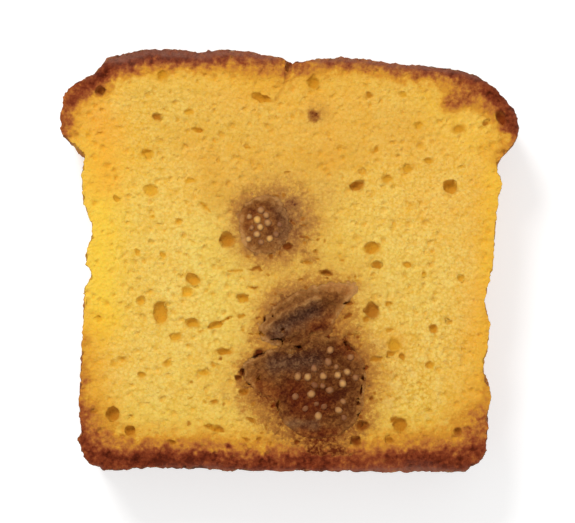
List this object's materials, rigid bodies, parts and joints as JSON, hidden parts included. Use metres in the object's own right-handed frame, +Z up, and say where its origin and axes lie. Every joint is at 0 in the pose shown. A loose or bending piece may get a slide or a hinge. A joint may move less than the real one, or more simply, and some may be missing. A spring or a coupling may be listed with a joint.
{
  "type": "fig pound cake slice",
  "caption": "Slice of fig pound cake lying on one cut face, with yellow crumb, a browned crust with a cracked crown, and pieces of fig that run through it.",
  "frame": {"origin": "middle of the bounding box, on the surface that the slice lies on", "axes": "+Z up, out of the upper cut face, through the slice's thickness; +Y towards the loaf's crown; +X to the right of the upper cut face, across the loaf"},
  "size_m": [0.092, 0.0854, 0.018],
  "materials": {
    "crumb": "matte",
    "fig_small": "moist",
    "fig_large": "moist",
    "fig_fold": "moist"
  },
  "bodies": {
    "root": {"cake_slice": "crumb", "fig_small": "fig_small", "fig_large": "fig_large", "fig_fold": "fig_fold"}
  },
  "joints": []
}
